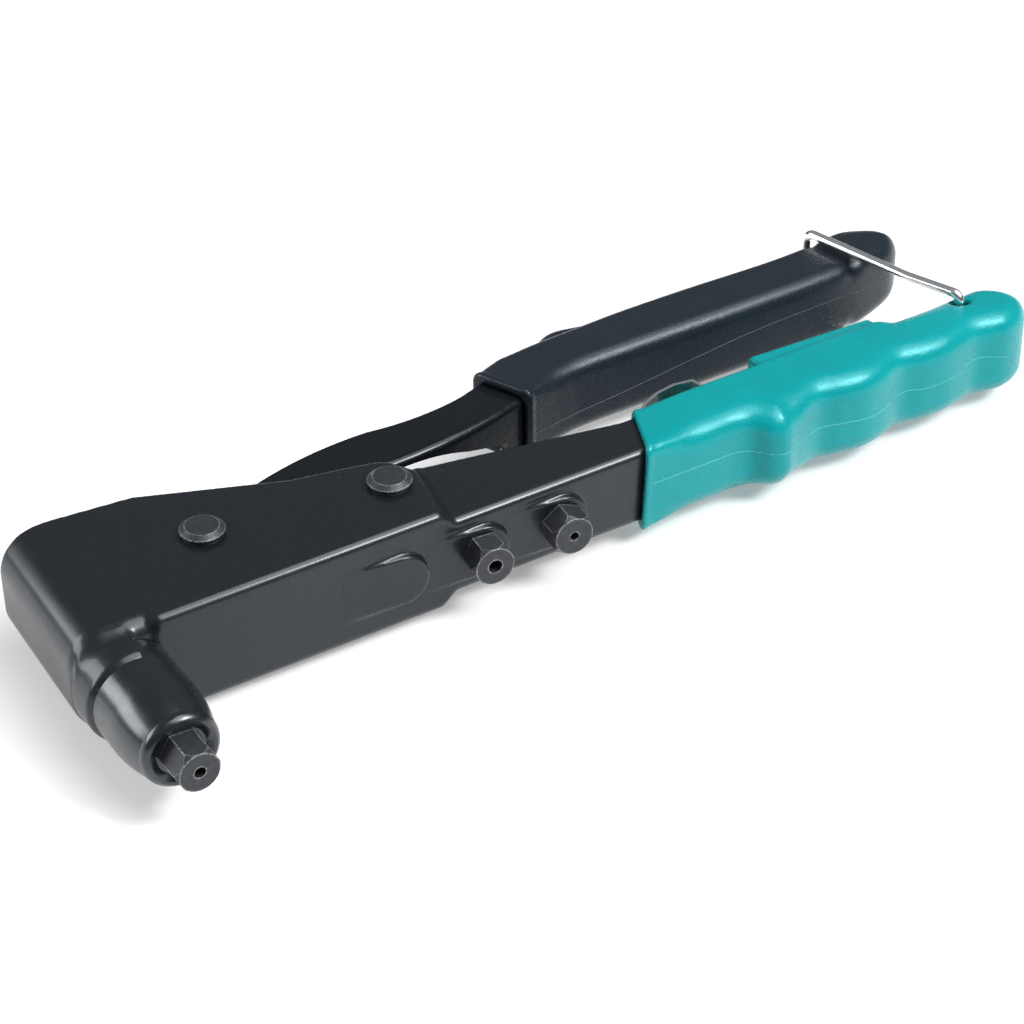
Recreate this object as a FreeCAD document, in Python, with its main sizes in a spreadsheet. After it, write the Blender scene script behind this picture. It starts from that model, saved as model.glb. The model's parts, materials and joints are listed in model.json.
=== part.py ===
import FreeCAD, Part
"""Hand riveter with a compound lever, lying on its side.

Origin: centre of the fitted nosepiece's front face.  +X runs along the handles, -Y is
the way the rivet points, +Z is along the two lever pins.  Most depths are measured from
the front face of the pressed body's web, which lies web_y behind the nosepiece face.
"""
import math
import os
import Sketcher
from FreeCAD import Placement, Rotation, Vector

doc = FreeCAD.newDocument("hand_riveter")

# ---------------------------------------------------------------- driving sizes, mm
SIZES = {
    # pressed body
    "web_y": 37.1, "head_half": 14.15, "handle_half": 10.8, "wall": 2.5,
    "head_end": 11.5, "end_bend": 9.3, "web_bend": 2.4, "handle_depth": 14.0,
    "handle_end": 257.0, "neck_top_x": 83.1, "neck_foot_x": 87.4,
    "collar_r": 12.4, "collar_len": 7.5, "collar_open_x": 2.5,
    # pins and their places
    "pin_r": 4.0, "pin_head_r": 5.5, "pin_head": 2.5,
    "fulcrum_x": 32.9, "fulcrum_y": 24.1, "link_x": 79.8, "link_y": 17.7,
    "drive_x": 23.56, "drive_y": 27.68, "drive_r": 2.5,
    # levers
    "lever_half": 8.6, "lever_wall": 2.3, "lever_bend": 2.2,
    "link_half": 5.9, "fork_half": 8.3,
    # nose
    "barrel_r": 11.4, "barrel_neck_r": 9.6, "barrel_bore_r": 8.0, "barrel_len": 29.3, "barrel_seat": 1.2,
    "stud_r": 4.0, "stud_len": 7.2, "hex_af": 10.0, "hex_len": 9.0, "spare_hex_len": 6.6,
    "face_r": 4.95,
    # raised ramps that hold the spare nosepieces
    "ramp_pitch": 22.5, "ramp_first_x": 57.9, "ramp_half": 7.0, "ramp_len": 21.0,
    "ramp_slope": 6.3, "ramp_seat": 13.8,
    # jaw case
    "case_r": 7.4, "sleeve_neck_r": 4.5,
    # grips and latch
    "body_grip_half": 12.4, "lever_grip_half": 11.0, "bail_r": 1.3,
    "bail_x": 250.0, "bail_y": 11.0,
}
sheet = doc.addObject("Spreadsheet::Sheet", "sizes")
for row, (alias, size) in enumerate(SIZES.items(), start=1):
    sheet.set(f"A{row}", str(size))
    sheet.setAlias(f"A{row}", alias)
doc.recompute()


def size(alias):
    """Value of one cell of the sheet, in mm or degrees."""
    return float(sheet.get(alias))


WEB_Y = size("web_y")
nodes = []


# ---------------------------------------------------------------- helpers
def new_body(name):
    body = doc.addObject("PartDesign::Body", name)
    body.Label = name
    nodes.append(body)
    return body


def plane(body, role):
    return next(item for item in body.Origin.OriginFeatures if item.Role == role)


def sketch_on(body, name, role, offset=Placement()):
    """An empty sketch on one of the body's own origin planes."""
    sketch = body.newObject("Sketcher::SketchObject", name)
    sketch.AttachmentSupport = (plane(body, role), [""])
    sketch.MapMode = "FlatFace"
    sketch.AttachmentOffset = offset
    return sketch


def plan_sketch(body, name):
    """A sketch seen along the pins, with its origin on the web's front face."""
    sketch = sketch_on(body, name, "XY_Plane", Placement(Vector(0, WEB_Y, 0), Rotation()))
    sketch.setExpression("AttachmentOffset.Base.y", "sizes.web_y")
    return sketch


def front_sketch(body, name, depth):
    """A sketch seen from the nose, at a depth behind the web's front face."""
    return sketch_on(body, name, "XZ_Plane", Placement(Vector(0, 0, -(WEB_Y + depth)), Rotation()))


def polygon(sketch, points):
    """A closed outline.  A point is (x, y); (x, y, "arc") is a point that an arc passes."""
    corners = [point for point in points if len(point) == 2]
    first = corners[0]
    path = list(points) + [first]
    index = 0
    edges = []
    while index < len(path) - 1:
        start = Vector(*path[index], 0)
        if len(path[index + 1]) == 3:
            through = Vector(path[index + 1][0], path[index + 1][1], 0)
            end = Vector(*path[index + 2], 0)
            edges.append(sketch.addGeometry(Part.Arc(start, through, end), False))
            index += 2
        else:
            end = Vector(*path[index + 1], 0)
            edges.append(sketch.addGeometry(Part.LineSegment(start, end), False))
            index += 1
    return edges


def circle(sketch, x, y, radius_cell, extra=0.0):
    """A circle whose radius is bound to a cell of the sheet, plus a clearance."""
    centre = Vector(x, y, 0)
    geo = sketch.addGeometry(Part.Circle(centre, Vector(0, 0, 1), size(radius_cell) + extra), False)
    con = sketch.addConstraint(Sketcher.Constraint("Radius", geo, size(radius_cell) + extra))
    sketch.setExpression(f"Constraints[{con}]", f"sizes.{radius_cell} + {extra}")
    return geo


def pad(body, sketch, name, length, symmetric=False, reverse=False):
    """A pad; length is an expression on the sheet's cells."""
    feature = body.newObject("PartDesign::Pad", name)
    feature.Profile = sketch
    feature.SideType = "Symmetric" if symmetric else "One side"
    feature.setExpression("Length", length)
    feature.Reversed = reverse
    body.Tip = feature
    doc.recompute()
    return feature


def pocket(body, sketch, name, length, symmetric=False, reverse=False, slant=None):
    """A pocket that must remove material; slant is a direction to cut along."""
    before = body.Tip.Shape.Volume
    feature = body.newObject("PartDesign::Pocket", name)
    feature.Profile = sketch
    feature.SideType = "Symmetric" if symmetric else "One side"
    feature.setExpression("Length", length)
    feature.Reversed = reverse
    if slant:
        feature.UseCustomVector = True
        feature.Direction = slant
    body.Tip = feature
    doc.recompute()
    if not before - feature.Shape.Volume > 0.5:
        raise RuntimeError(f"{body.Label}.{name} removed nothing")
    return feature


def revolve(body, sketch, name):
    """A full turn about the sketch's vertical axis."""
    feature = body.newObject("PartDesign::Revolution", name)
    feature.Profile = sketch
    feature.ReferenceAxis = (sketch, ["V_Axis"])
    feature.Angle = 360
    body.Tip = feature
    doc.recompute()
    return feature


def edges_where(shape, test):
    """Names of the edges whose two ends and middle all pass the test."""
    names = []
    for number, edge in enumerate(shape.Edges, start=1):
        middle = edge.valueAt((edge.FirstParameter + edge.LastParameter) / 2)
        spots = [vertex.Point for vertex in edge.Vertexes] + [middle]
        if all(test(spot.x, spot.y - WEB_Y, spot.z) for spot in spots):
            names.append(f"Edge{number}")
    return names


def fillet(body, name, radius, test):
    base = body.Tip
    edges = edges_where(base.Shape, test)
    feature = body.newObject("PartDesign::Fillet", name)
    feature.Base = (base, edges)
    feature.setExpression("Radius", radius)
    body.Tip = feature
    doc.recompute()
    return feature


def chamfer(body, name, width, test):
    base = body.Tip
    edges = edges_where(base.Shape, test)
    feature = body.newObject("PartDesign::Chamfer", name)
    feature.Base = (base, edges)
    feature.Size = width
    body.Tip = feature
    doc.recompute()
    return feature


def shape_node(name, shape, place=Placement()):
    feature = doc.addObject("Part::Feature", name)
    feature.Shape = shape
    feature.Label = name
    feature.Placement = place
    nodes.append(feature)
    return feature


def turned(name, profile):
    """A body turned about the nose axis from (radius, depth) points."""
    body = new_body(name)
    sketch = plan_sketch(body, f"{name}_profile")
    polygon(sketch, profile)
    revolve(body, sketch, f"{name}_turn")
    return body


def hexagon_points(corner, turn=0):
    angles = [math.radians(60 * index + turn) for index in range(6)]
    return [(corner * math.cos(angle), corner * math.sin(angle)) for angle in angles]


def near(value, target, slack=0.05):
    return abs(value - target) < slack


# ---------------------------------------------------------------- pressed body
HEAD = size("head_half")
HANDLE = size("handle_half")
WALL = size("wall")
END = size("head_end")
DEPTH = size("handle_depth")
HANDLE_END = size("handle_end")
NECK_TOP = size("neck_top_x")
NECK_FOOT = size("neck_foot_x")
END_SLANT = 0.046     # the end wall leans in towards the open rear
NECK_SLANT = 0.2      # the neck step leans back towards the handle
FULCRUM = (size("fulcrum_x"), size("fulcrum_y"))
LINK = (size("link_x"), size("link_y"))
DRIVE = (size("drive_x"), size("drive_y"))
RAMP_X = [size("ramp_first_x") + index * size("ramp_pitch") for index in range(3)]


def on_ramp(start):
    """The frame of a ramp's face, whose left edge lies in the web's front face."""
    return Placement(Vector(start, 0, -WEB_Y), Rotation(Vector(0, 1, 0), -size("ramp_slope")))


def make_body_frame():
    body = new_body("body_frame")
    plan = plan_sketch(body, "body_plan")
    rear = 47.5
    polygon(plan, [
        (-END, 0), (-END + END_SLANT * rear, rear), (3.5, 49.1), (25.5, 46.9), (60.6, 32.6),
        (73.5, 29.9), (82.4, 27.6, "arc"), (89.5, 24.6), (143.6, DEPTH),
        (HANDLE_END, DEPTH), (HANDLE_END, 0)])
    pad(body, plan, "body_block", "2 * sizes.head_half", symmetric=True)

    step = front_sketch(body, "neck_step", -1)
    far = HANDLE_END + 60
    above = HEAD + 5
    for side in (1, -1):
        polygon(step, [
            (NECK_TOP, side * HEAD), (NECK_FOOT, side * HANDLE), (far, side * HANDLE),
            (far, side * above), (NECK_TOP, side * above)])
    pocket(body, step, "neck", "sizes.web_y * 2", slant=Vector(NECK_SLANT, 1, 0))

    for side in (1, -1):
        level = Placement(Vector(0, WEB_Y, side * (HANDLE + 0.3)), Rotation())
        corner = sketch_on(body, f"neck_corner_{side + 1}", "XY_Plane", level)
        polygon(corner, [
            (80.4, 29.4), (84.6, 26.0, "arc"), (87.5, 20.8), (96.0, 20.8), (96.0, 34.0),
            (80.4, 34.0)])
        pocket(body, corner, f"neck_corner_cut_{side + 1}", "sizes.wall * 3", reverse=side > 0)

    fillet(body, "end_bends", "sizes.end_bend",
           lambda x, y, z: near(abs(z), HEAD) and near(x, -END + END_SLANT * y))
    fillet(body, "web_bends", "sizes.web_bend",
           lambda x, y, z: near(y, 0) and x < HANDLE_END - 1 or near(y, 0) and near(abs(z), HANDLE))

    collar = front_sketch(body, "collar_circle", WALL)
    circle(collar, 0, 0, "collar_r")
    pad(body, collar, "collar", "sizes.collar_len + sizes.wall")
    fillet(body, "collar_lip", "sizes.wall * 0.6", lambda x, y, z: near(y, -size("collar_len")))
    seat = front_sketch(body, "collar_seat", -size("collar_len") - 1)
    circle(seat, 0, 0, "barrel_r", 0.05)
    pocket(body, seat, "collar_bore", "sizes.collar_len + 1")
    opening = front_sketch(body, "collar_opening", -size("collar_len") - 1)
    open_x = size("collar_open_x")
    polygon(opening, [(open_x, -13), (13, -13), (13, 13), (open_x, 13)])
    pocket(body, opening, "collar_opening_cut", "sizes.collar_len + 1")

    half = size("ramp_half")
    end = size("ramp_len")
    for index, start in enumerate(RAMP_X):
        ramp = sketch_on(body, f"ramp_outline_{index}", "XZ_Plane", on_ramp(start))
        polygon(ramp, [(-1, -half), (end - half, -half), (end, 0, "arc"), (end - half, half), (-1, half)])
        pad(body, ramp, f"ramp_{index}", "sizes.wall * 1.3", reverse=True)

    cavity = front_sketch(body, "head_cavity", WALL)
    inner = HEAD - WALL
    bend = size("end_bend") - WALL
    left = -END + WALL
    corner = bend * (1 - math.cos(math.radians(45)))
    polygon(cavity, [
        (left, -inner + bend), (left + corner, -inner + corner, "arc"), (left + bend, -inner),
        (70, -inner), (70, inner), (left + bend, inner),
        (left + corner, inner - corner, "arc"), (left, inner - bend)])
    pocket(body, cavity, "head_hollow", "sizes.web_y * 2", slant=Vector(END_SLANT, 1, 0))

    channel = front_sketch(body, "handle_cavity", WALL)
    narrow = HANDLE - WALL
    shift = NECK_SLANT * WALL - 1.0
    polygon(channel, [
        (60, -inner), (NECK_TOP + shift, -inner), (NECK_FOOT + shift, -narrow), (far, -narrow),
        (far, narrow), (NECK_FOOT + shift, narrow), (NECK_TOP + shift, inner), (60, inner)])
    pocket(body, channel, "handle_hollow", "sizes.web_y * 2", slant=Vector(NECK_SLANT, 1, 0))

    holes = front_sketch(body, "web_holes", -size("collar_len") - 1)
    circle(holes, 0, 0, "barrel_neck_r")
    pocket(body, holes, "web_drilling", "sizes.collar_len + sizes.wall + 4")
    for index, start in enumerate(RAMP_X[1:]):
        seat = sketch_on(body, f"spare_hole_{index}", "XZ_Plane", on_ramp(start))
        circle(seat, size("ramp_seat"), 0, "stud_r", 0.05)
        pocket(body, seat, f"spare_drilling_{index}", "sizes.wall * 6", symmetric=True)

    drill = plan_sketch(body, "pin_holes")
    circle(drill, *FULCRUM, "pin_r")
    circle(drill, *LINK, "pin_r")
    circle(drill, size("bail_x"), size("bail_y"), "bail_r", 0.08)
    pocket(body, drill, "pin_drilling", "sizes.head_half * 3", symmetric=True)
    return body


# ---------------------------------------------------------------- nose
def make_barrel():
    outer = size("barrel_r")
    neck = size("barrel_neck_r")
    bore = size("barrel_bore_r")
    stud = size("stud_r") + 0.05
    front = -size("barrel_len")
    seat = size("barrel_seat")
    body = turned("nose_barrel", [
        (neck, WALL), (neck, 0), (outer, 0), (outer, -14.0),
        (11.1, -20.0, "arc"), (9.6, -26.6), (9.1, -28.7, "arc"), (8.3, front), (7.7, front + 0.2),
        (6.1, front + seat), (stud, front + seat), (stud, -21.6), (bore, -20.4), (bore, WALL)])
    return body


def make_nosepiece(name, bore_r, back, length_cell="hex_len", turn=0):
    """A nosepiece whose hex ends at a depth; turn is how far its flats are screwed round."""
    body = new_body(name)
    length = size(length_cell)
    corner = size("hex_af") / math.sqrt(3)
    head = front_sketch(body, f"{name}_hex", back)
    polygon(head, hexagon_points(corner, turn))
    pad(body, head, f"{name}_head", f"sizes.{length_cell}")

    cone = plan_sketch(body, f"{name}_cone")
    face = back - length
    cone_len = 2.2
    polygon(cone, [
        (size("face_r"), face), (corner + 0.3, face + cone_len), (corner + 3, face + cone_len),
        (corner + 3, face - 1), (size("face_r"), face - 1)])
    before = body.Tip.Shape.Volume
    groove = body.newObject("PartDesign::Groove", f"{name}_chamfer")
    groove.Profile = cone
    groove.ReferenceAxis = (cone, ["V_Axis"])
    groove.Angle = 360
    body.Tip = groove
    doc.recompute()
    if not before - groove.Shape.Volume > 0.5:
        raise RuntimeError(f"{name} chamfer removed nothing")

    stud = front_sketch(body, f"{name}_stud_circle", back)
    circle(stud, 0, 0, "stud_r")
    pad(body, stud, f"{name}_stud", "sizes.stud_len", reverse=True)
    chamfer(body, f"{name}_lead", 0.8, lambda a, b, c: near(b, back + size("stud_len")))

    bore = front_sketch(body, f"{name}_bore_circle", back - length - 1)
    geo = bore.addGeometry(Part.Circle(Vector(0, 0, 0), Vector(0, 0, 1), bore_r), False)
    bore.addConstraint(Sketcher.Constraint("Radius", geo, bore_r))
    pocket(body, bore, f"{name}_bore", f"sizes.{length_cell} + sizes.stud_len + 3")
    return body


def make_spare(name, bore_r, start, turn=0):
    """A stored nosepiece, screwed square into a ramp that starts at x = start."""
    body = make_nosepiece(name, bore_r, 0, "spare_hex_len", turn)
    slope = size("ramp_slope")
    foot = Vector(0, WEB_Y, 0)
    along = size("ramp_seat")
    spot = Vector(start + along * math.cos(math.radians(slope)),
                  WEB_Y - along * math.sin(math.radians(slope)), 0)
    body.Placement = Placement(spot - foot, Rotation(Vector(0, 0, 1), -slope), foot)


# ---------------------------------------------------------------- pins and washers
def make_pin(name, place):
    """A shouldered pin riveted over on both flanges, with chamfered round heads."""
    body = new_body(name)
    profile = sketch_on(body, f"{name}_profile", "XZ_Plane")
    radius = size("pin_r")
    rim = size("pin_head_r")
    face = rim - 1.35
    foot = rim - 0.5
    top = HEAD + size("pin_head")
    knee = top - 1.0
    polygon(profile, [
        (0, -top), (face, -top), (rim, -knee), (rim, 0.3 - knee), (foot, -HEAD), (radius, -HEAD),
        (radius, HEAD), (foot, HEAD), (rim, knee - 0.3), (rim, knee), (face, top), (0, top)])
    revolve(body, profile, f"{name}_turn")
    body.Placement = Placement(Vector(place[0], WEB_Y + place[1], 0), Rotation())
    return body


def ring(x, y, low, high, inner, outer):
    centre = Vector(x, WEB_Y + y, low)
    tube = Part.makeCylinder(outer, high - low, centre)
    return tube.cut(Part.makeCylinder(inner, high - low, centre))


def ring_pair(name, place, low, high, inner, outer):
    """Two equal washers, one against each flange."""
    upper = ring(*place, low, high, inner, outer)
    lower = ring(*place, -high, -low, inner, outer)
    return shape_node(name, Part.makeCompound([upper, lower]))


# ---------------------------------------------------------------- levers
def make_handle_lever():
    body = new_body("handle_lever")
    plan = plan_sketch(body, "lever_plan")
    polygon(plan, [
        (17.2, 27.2), (19.5, 20.0, "arc"), (26.0, 15.2), (33.5, 13.6, "arc"), (42.0, 16.6),
        (62.0, 27.2), (76.0, 31.0, "arc"), (90.0, 32.0), (112.0, 34.3, "arc"), (130.0, 38.9),
        (145.0, 43.0), (158.0, 44.2), (248.0, 45.6), (254.0, 51.6), (252.0, 58.0),
        (232.0, 59.2), (158.0, 58.8), (134.0, 53.8), (118.0, 48.4),
        (104.0, 46.6, "arc"), (90.0, 47.6), (72.0, 46.4, "arc"), (56.0, 42.4), (34.0, 36.4),
        (21.0, 33.6, "arc")])
    pad(body, plan, "lever_block", "2 * sizes.lever_half", symmetric=True)
    half = size("lever_half")
    fillet(body, "lever_bends", "sizes.lever_bend",
           lambda x, y, z: near(abs(z), half) and 85 < x < 250 and y < 46.5)

    thick = size("lever_wall")
    hollow = plan_sketch(body, "lever_hollow_plan")
    polygon(hollow, [
        (0, 0), (60, 20), (90, 32.0 + thick), (112.0, 34.3 + thick, "arc"),
        (130.0 - 0.6, 38.9 + thick), (145.0 - 0.6, 43.0 + thick), (158.0, 44.2 + thick),
        (248.0 - 1.0, 45.6 + thick), (254.0 - thick, 52.6), (252.0 - thick, 70.0),
        (0, 70)])
    pocket(body, hollow, "lever_hollow", "2 * (sizes.lever_half - sizes.lever_wall)",
           symmetric=True)

    arch = front_sketch(body, "lever_arch", 20)
    gap = half - thick
    polygon(arch, [
        (80, -gap), (118.0, -gap), (123.6, -5.2, "arc"), (125.2, -1.9), (111.5, 2.4),
        (101.8, 5.4, "arc"), (93, gap), (80, gap)])
    pocket(body, arch, "lever_arch_cut", "sizes.web_y * 0.55")

    level = Placement(Vector(0, WEB_Y, -gap), Rotation())
    relief = sketch_on(body, "lever_relief", "XY_Plane", level)
    polygon(relief, [(97.0, 53.0), (97.0, 46.8), (101.4, 45.5), (129.6, 39.6), (122.6, 53.0)])
    pocket(body, relief, "lever_relief_cut", "sizes.lever_wall * 2")

    drill = plan_sketch(body, "lever_pin_holes")
    circle(drill, *FULCRUM, "pin_r", 0.05)
    circle(drill, *DRIVE, "drive_r")
    pocket(body, drill, "lever_drilling", "sizes.lever_half * 3", symmetric=True)
    return body


def make_pull_lever():
    """Second lever: turns on the link pin and draws the jaw case with its fork."""
    body = new_body("pull_lever")
    plan = plan_sketch(body, "pull_plan")
    polygon(plan, [
        (8.2, 22.5), (11.0, 21.6), (20.0, 15.8), (33.0, 13.0), (60.0, 10.6), (78.8, 8.9),
        (88.6, 17.7, "arc"), (78.8, 26.5), (60.0, 28.4), (45.0, 36.6), (36.0, 38.9, "arc"),
        (26.0, 37.9), (14.0, 30.4), (11.0, 28.4), (8.2, 27.5)])
    pad(body, plan, "pull_block", "2 * sizes.link_half", symmetric=True)

    block = plan_sketch(body, "fork_plan")
    polygon(block, [
        (-5.6, 22.5), (0, 21.6, "arc"), (5.6, 22.5), (12.0, 22.5), (12.0, 27.5), (5.6, 27.5),
        (0, 28.4, "arc"), (-5.6, 27.5)])
    pad(body, block, "fork_block", "2 * sizes.fork_half", symmetric=True)
    mouth = front_sketch(body, "fork_mouth", 15)
    reach = size("sleeve_neck_r") + 0.4
    polygon(mouth, [
        (-9, -reach), (0.6, -reach), (reach + 0.6, 0, "arc"), (0.6, reach), (-9, reach)])
    pocket(body, mouth, "fork_gap", "sizes.web_y")

    windows = plan_sketch(body, "pull_windows")
    travel = 6.2
    wide = size("pin_r") + 0.8
    x, y = FULCRUM
    polygon(windows, [
        (x - wide, y), (x, y - wide, "arc"), (x + wide, y), (x + wide + 1.2, y + travel),
        (x + 1.2, y + travel + wide, "arc"), (x + 1.2 - wide, y + travel)])
    slot = size("drive_r") + 0.3
    x, y = DRIVE
    polygon(windows, [
        (x - 0.4, y - slot), (x + 1.0, y - slot), (x + 1.0 + slot, y, "arc"), (x + 1.0, y + slot),
        (x - 0.4, y + slot), (x - 0.4 - slot, y, "arc")])
    circle(windows, *LINK, "pin_r", 1.5)
    pocket(body, windows, "pull_window_cut", "sizes.link_half * 3", symmetric=True)
    return body


# ---------------------------------------------------------------- jaw case
def make_jaw_case():
    case = size("case_r")
    turned("jaw_case", [
        (5.4, -10.3), (case, -7.0), (case, 12.0), (6.0, 12.0), (6.0, 3.0), (5.6, 3.0),
        (3.0, -9.8), (3.0, -10.3)])
    neck = size("sleeve_neck_r")
    turned("draw_sleeve", [
        (5.95, 6.0), (5.95, 16.3), (7.2, 16.3), (7.2, 21.2), (neck, 21.2), (neck, 28.8),
        (6.6, 28.8), (6.6, 32.0), (5.9, 32.6), (2.4, 32.6), (2.4, 18.5), (4.7, 18.5), (4.7, 6.0)])
    turned("jaw_pusher", [
        (1.8, 2.2), (5.3, 2.2), (5.3, 5.2), (2.7, 5.2), (2.7, 14.0), (1.8, 14.0)])

    nut = new_body("lock_nut")
    hexagon = front_sketch(nut, "lock_nut_hex", 12.1)
    corner = 13.0 / math.sqrt(3)
    polygon(hexagon, hexagon_points(corner))
    geo = hexagon.addGeometry(Part.Circle(Vector(0, 0, 0), Vector(0, 0, 1), 5.95), False)
    hexagon.addConstraint(Sketcher.Constraint("Radius", geo, 5.95))
    pad(nut, hexagon, "lock_nut_block", "sizes.wall * 1.6", reverse=True)


def make_jaws():
    """Three jaw segments that close in the cone of the jaw case."""
    low, high = -8.4, 2.0
    slope = (5.6 - 3.0) / (3.0 + 9.8)
    front_r = 3.0 + slope * (low + 9.8) - 0.06
    rear_r = 3.0 + slope * (high + 9.8) - 0.06
    axis = Vector(0, 1, 0)
    start = Vector(0, WEB_Y + low, 0)
    cone = Part.makeCone(front_r, rear_r, high - low, start, axis)
    cone = cone.cut(Part.makeCylinder(1.25, high - low, start, axis))
    for turn in range(3):
        saw = Part.makeBox(9, high - low + 2, 0.9, Vector(0, WEB_Y + low - 1, -0.45))
        saw.rotate(Vector(0, 0, 0), axis, 90 + 120 * turn)
        cone = cone.cut(saw)
    shape_node("jaws", Part.makeCompound(cone.Solids))


def make_jaw_spring():
    """Coil spring that holds the pusher against the jaws."""
    wire_r, mean_r, pitch, turns = 0.55, 3.65, 2.15, 5.6
    helix = Part.makeHelix(pitch, pitch * turns, mean_r)
    profile = Part.Wire([Part.Circle(Vector(mean_r, 0, 0), Vector(0, 1, 0), wire_r).toShape()])
    coil = helix.makePipeShell([profile], True, True)
    along_nose = Rotation(Vector(1, 0, 0), -90)
    shape_node("jaw_spring", coil, Placement(Vector(0, WEB_Y + 5.8, 0), along_nose))


# ---------------------------------------------------------------- grips
def spline(points):
    """A smooth edge through plan points (x, depth)."""
    curve = Part.BSplineCurve()
    curve.interpolate([Vector(x, WEB_Y + y, 0) for x, y in points])
    return curve.toShape()


def lines(points):
    spots = [Vector(x, WEB_Y + y, 0) for x, y in points]
    return [Part.LineSegment(a, b).toShape() for a, b in zip(spots, spots[1:])]


def slab(edges, half):
    """A slab of an outline, from -half to half along Z."""
    face = Part.Face(Part.Wire(Part.__sortEdges__(edges)))
    face.translate(Vector(0, 0, -half))
    return face.extrude(Vector(0, 0, 2 * half))


def rounded(shape, radius, test):
    edges = [edge for edge in shape.Edges
             if all(test(spot.x, spot.y - WEB_Y, spot.z)
                    for spot in [vertex.Point for vertex in edge.Vertexes]
                    + [edge.valueAt((edge.FirstParameter + edge.LastParameter) / 2)])]
    return shape.makeFillet(radius, edges)


def rounded_rim(grip, half, radius):
    """Rounds a grip's curved rims; its straight open mouth stays sharp."""
    rims = [edge for edge in grip.Edges
            if isinstance(edge.Curve, Part.BSplineCurve)
            and all(near(abs(vertex.Point.z), half) for vertex in edge.Vertexes)]
    return grip.makeFillet(radius, rims)


def make_body_grip():
    half = size("body_grip_half")
    rear = DEPTH + 1.9
    outline = [
        (142.4, -1.9), (153.0, -1.9), (164.0, -1.9), (171.0, -3.0), (178.0, -6.6),
        (186.0, -4.4), (194.0, -2.5), (208.5, -4.9), (223.0, -1.9), (236.0, -3.0),
        (247.0, -0.9), (256.0, -2.3), (263.0, -0.2), (266.9, 5.4), (265.0, 12.0),
        (259.0, 16.2), (252.0, 16.4), (240.0, 15.8), (222.0, rear), (205.0, rear),
        (186.0, rear), (168.0, rear), (149.6, rear)]
    grip = slab(lines([outline[-1], outline[0]]) + [spline(outline)], half)
    grip = rounded_rim(grip, half, 4.2)
    top = half - 0.5
    bumper_plan = lines([(186.0, 14.0), (188.2, 20.6), (225.4, 18.9), (227.0, 14.0), (186.0, 14.0)])
    bumper = rounded(slab(bumper_plan, top), 1.4,
                     lambda x, y, z: y > 14.1 and (near(abs(z), top) or y > 18))
    grip = grip.fuse(bumper).removeSplitter()
    room = Part.makeBox(HANDLE_END - 100, DEPTH, 2 * HANDLE, Vector(100, WEB_Y, -HANDLE))
    hole = Part.makeCylinder(size("bail_r") + 0.35, 2 * half + 4,
                             Vector(size("bail_x"), WEB_Y + size("bail_y"), -half - 2))
    shape_node("body_grip", grip.cut(room).cut(hole).cut(leaf(0.06)))


def make_lever_grip():
    half = size("lever_grip_half")
    rear = [(123.4, 52.2), (134.0, 56.0), (146.0, 58.4), (158.0, 60.7), (184.0, 60.7),
            (217.0, 61.0), (238.0, 60.3), (248.0, 61.2), (256.0, 59.4), (260.4, 53.6),
            (257.0, 48.2), (247.0, 44.6), (236.0, 43.0), (222.0, 42.5), (200.0, 42.3),
            (158.0, 42.3), (145.0, 41.0), (131.6, 37.2)]
    edges = lines([(131.6, 37.2), (123.4, 52.2)])
    edges.append(spline(rear))
    grip = slab(edges, half)
    grip = rounded_rim(grip, half, 3.4)
    hump = [(146.0, 57.0), (149.0, 62.6), (155.0, 66.2), (162.0, 65.0), (172.0, 61.8), (184.0, 57.0)]
    hump_edges = lines([hump[-1], hump[0]])
    hump_edges.append(spline(hump))
    boss = rounded_rim(slab(hump_edges, 6.5), 6.5, 2.4)
    grip = grip.fuse(boss).removeSplitter()
    grip = grip.cut(lever_envelope())
    shape_node("lever_grip", grip)


def lever_envelope():
    """The outer block of the lever's channel, which the grip is moulded round."""
    edges = lines([
        (110.0, 30.0), (130.0, 38.9), (145.0, 43.0), (158.0, 44.2), (248.0, 45.6),
        (254.0, 51.6), (252.0, 58.0), (232.0, 59.2), (158.0, 58.8), (134.0, 53.8),
        (118.0, 48.4), (110.0, 46.0), (110.0, 30.0)])
    return slab(edges, size("lever_half"))


# ---------------------------------------------------------------- bumper leaf and latch
def leaf(extra=0.0):
    """Bent strip behind the body grip; extra grows it on every side."""
    thick = 0.9 + 2 * extra
    path = [(213.0, 18.4), (188.0, 17.9), (180.5, 17.7), (175.5, 16.7), (172.4, 16.9),
            (171.6, 22.3), (166.5, 23.2), (160.5, 22.2), (155.5, 19.9), (151.8, 16.9)]
    near_side, far_side = [], []
    for index, (x, y) in enumerate(path):
        before = path[max(index - 1, 0)]
        after = path[min(index + 1, len(path) - 1)]
        ways = []
        for a, b in ((before, (x, y)), ((x, y), after)):
            run = math.hypot(b[0] - a[0], b[1] - a[1])
            if run > 0:
                ways.append(((b[0] - a[0]) / run, (b[1] - a[1]) / run))
        tx = sum(way[0] for way in ways)
        ty = sum(way[1] for way in ways)
        norm = math.hypot(tx, ty)
        tx, ty = tx / norm, ty / norm
        bend = tx * ways[0][0] + ty * ways[0][1]
        reach = thick / 2 / bend
        near_side.append((x - ty * reach, y + tx * reach))
        far_side.append((x + ty * reach, y - tx * reach))
    outline = near_side + far_side[::-1] + near_side[:1]
    return slab(lines(outline), 9.0 + extra)


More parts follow.
